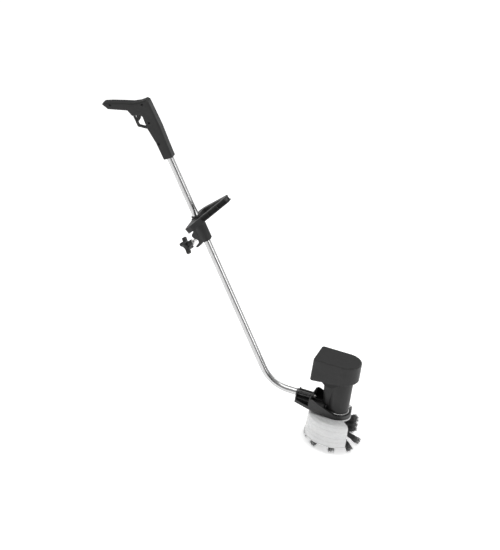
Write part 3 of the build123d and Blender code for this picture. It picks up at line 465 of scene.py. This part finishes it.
def add_tuft(bm, along, azimuth, root_z, tilt, length, width, height, count, crimp):
    """Wavy strands fanning out from one hub hole; width and height are half sizes at the tip."""
    azimuth, tilt = math.radians(azimuth), math.radians(tilt)
    c, s = math.cos(azimuth), math.sin(azimuth)
    root = Vector((HUB_RADIUS * c, HUB_RADIUS * s, root_z))
    outward = Vector((c * math.cos(tilt), s * math.cos(tilt), -math.sin(tilt)))
    side = Vector((-s, c, 0))
    up = outward.cross(side).normalized()
    for _ in range(count):
        # place in the round bundle, then the strand's own length, splay and wave
        place = math.sqrt(rng.random())
        angle = rng.random() * 2 * math.pi
        place_side, place_up = place * math.cos(angle), place * math.sin(angle)
        reach = length * (1.0 - 0.18 * rng.random() ** 1.6)
        splay_side, splay_up = rng.uniform(-1, 1), rng.uniform(-1, 1)
        wobble = rng.uniform(0.6, 1.9) * crimp
        phase = rng.random() * 6.28
        waves = rng.uniform(4.5, 8.0)
        points = []
        for i in range(STRAND_STATIONS):
            t = i / (STRAND_STATIONS - 1.0)
            distance = -ROOT_DEPTH + (reach + ROOT_DEPTH) * t
            spread_side = ROOT_SPREAD + (width - ROOT_SPREAD) * (t ** 1.25)
            spread_up = ROOT_SPREAD + (height - ROOT_SPREAD) * (t ** 1.25)
            grow = min(1.0, t * 2.2)
            wave = math.sin(phase + waves * t * 3.1) * 0.7
            sway_side = (wave + rng.uniform(-0.4, 0.4)) * wobble * grow
            wave = math.cos(phase * 1.7 + waves * t * 2.7) * 0.7
            sway_up = (wave + rng.uniform(-0.4, 0.4)) * wobble * grow
            kick = max(0.0, t - 0.7) * 0.009
            points.append(root + outward * distance
                          + side * (place_side * spread_side + sway_side + splay_side * kick)
                          + up * (place_up * spread_up + sway_up + splay_up * kick))
        add_strand(bm, along, points, STRAND_RADIUS * rng.uniform(0.8, 1.25))


def add_bristles():
    bm = bmesh.new()
    along = bm.verts.layers.float.new("along")
    for azimuth in SIDE_AZIMUTHS:
        for drop in SIDE_DROPS:
            add_tuft(bm, along, azimuth, BRACKET_Z - drop, **SIDE_TUFT)
    for azimuth in LOW_AZIMUTHS:
        add_tuft(bm, along, azimuth, BRACKET_Z - LOW_DROP, **LOW_TUFT)
    strands = mesh_object("bristle_strands", bm, MATERIALS["bristle_nylon"], smooth=True)
    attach(strands, "rotor")
    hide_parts("bristle_tufts")


# ------------------------------------------------------------ camera, lights, world, floor
CAMERA_RIGHT = Vector((0.94007, 0.30255, 0.15728))
CAMERA_UP = Vector((-0.27876, 0.41623, 0.86547))
CAMERA_DISTANCE = 28.782
AIM_RIGHT, AIM_UP = -0.2732, 0.4223     # aim point from the bracket ring, in the view plane

# name, place, aim, side of the square, watts
SOFTBOXES = (
    ("key_top", (-0.5, -0.3, 3.0), (-0.4, 0, 0.4), 2.2, 34.0),
    ("front_left", (-2.2, -2.6, 1.5), (-0.4, 0, 0.4), 1.2, 8.5),
    ("front_right", (2.7, -0.9, 1.3), (-0.2, 0, 0.3), 1.1, 12.0),
    ("rim_back", (0.6, 2.6, 1.9), (-0.3, 0, 0.4), 1.4, 12.0),
)
FLOOR_GAP = 0.003           # below the lowest CAD point
FLOOR_HALF = 30.0


def add_camera(scene):
    back = CAMERA_RIGHT.cross(CAMERA_UP).normalized()
    target = Vector((0, 0, BRACKET_Z)) + CAMERA_RIGHT * AIM_RIGHT + CAMERA_UP * AIM_UP
    data = bpy.data.cameras.new("camera")
    data.lens = 600.0
    data.sensor_width = 36.0
    data.clip_start = 1.0
    data.clip_end = 120.0
    camera = bpy.data.objects.new("camera", data)
    scene.collection.objects.link(camera)
    turn = Matrix((CAMERA_RIGHT, CAMERA_UP, back)).transposed().to_4x4()
    camera.matrix_world = Matrix.Translation(target + back * CAMERA_DISTANCE) @ turn
    scene.camera = camera


def add_softbox(scene, name, place, aim, size, power):
    data = bpy.data.lights.new(name, "AREA")
    data.shape = "RECTANGLE"
    data.size = size
    data.size_y = size
    data.energy = power
    lamp = bpy.data.objects.new(name, data)
    lamp.location = place
    lamp.rotation_mode = "QUATERNION"
    lamp.rotation_quaternion = (Vector(aim) - Vector(place)).to_track_quat("-Z", "Y")
    scene.collection.objects.link(lamp)
    lamp.visible_camera = False


def world_patch(tree, coords, aim, band, to):
    """Smooth patch of brightness round one direction; band is the cosine of the angle off it."""
    dot = tree.nodes.new("ShaderNodeVectorMath")
    dot.operation = "DOT_PRODUCT"
    dot.inputs[1].default_value = Vector(aim).normalized()
    tree.links.new(coords.outputs["Generated"], dot.inputs[0])
    ramp = tree.nodes.new("ShaderNodeMapRange")
    ramp.interpolation_type = "SMOOTHSTEP"
    for key, value in zip(("From Min", "From Max", "To Min", "To Max"), (*band, *to)):
        ramp.inputs[key].default_value = value
    tree.links.new(dot.outputs["Value"], ramp.inputs["Value"])
    return ramp.outputs["Result"]


def add_world(scene):
    world = bpy.data.worlds.new("studio")
    scene.world = world
    world.use_nodes = True
    tree = world.node_tree
    background = tree.nodes["Background"]
    background.inputs["Strength"].default_value = 0.36
    coords = tree.nodes.new("ShaderNodeTexCoord")
    # black flag mirrored by the middle of the tube
    flag = world_patch(tree, coords, aim=(0.514, -0.857, 0.0), band=(0.82, 0.94), to=(1.0, 0.03))
    # brighter side wall on the right
    wall = world_patch(tree, coords, aim=(0.85, 0.50, 0.15), band=(0.35, 0.98), to=(1.0, 1.9))
    product = tree.nodes.new("ShaderNodeMath")
    product.operation = "MULTIPLY"
    tree.links.new(flag, product.inputs[0])
    tree.links.new(wall, product.inputs[1])
    tree.links.new(product.outputs[0], background.inputs["Color"])


def add_floor():
    bm = bmesh.new()
    z = CAD_BOX[0][2] - FLOOR_GAP
    bm.faces.new([bm.verts.new((x * FLOOR_HALF, y * FLOOR_HALF, z))
                  for x, y in ((-1, -1), (1, -1), (1, 1), (-1, 1))])
    material = bpy.data.materials.new("floor_pale")
    material.use_nodes = True
    inputs = material.node_tree.nodes["Principled BSDF"].inputs
    inputs["Base Color"].default_value = (0.93, 0.93, 0.93, 1)
    inputs["Roughness"].default_value = 0.9
    inputs["Specular IOR Level"].default_value = 0.1
    inputs["Emission Color"].default_value = (1, 1, 1, 1)
    inputs["Emission Strength"].default_value = 0.55
    mesh_object("floor", bm, material, smooth=False)


paint_pieces()
add_bristles()

scene = bpy.context.scene
add_camera(scene)
for softbox in SOFTBOXES:
    add_softbox(scene, *softbox)
add_world(scene)
add_floor()

scene.view_settings.view_transform = "Standard"
scene.view_settings.look = "None"
scene.view_settings.exposure = 0.0
scene.view_settings.gamma = 1.0
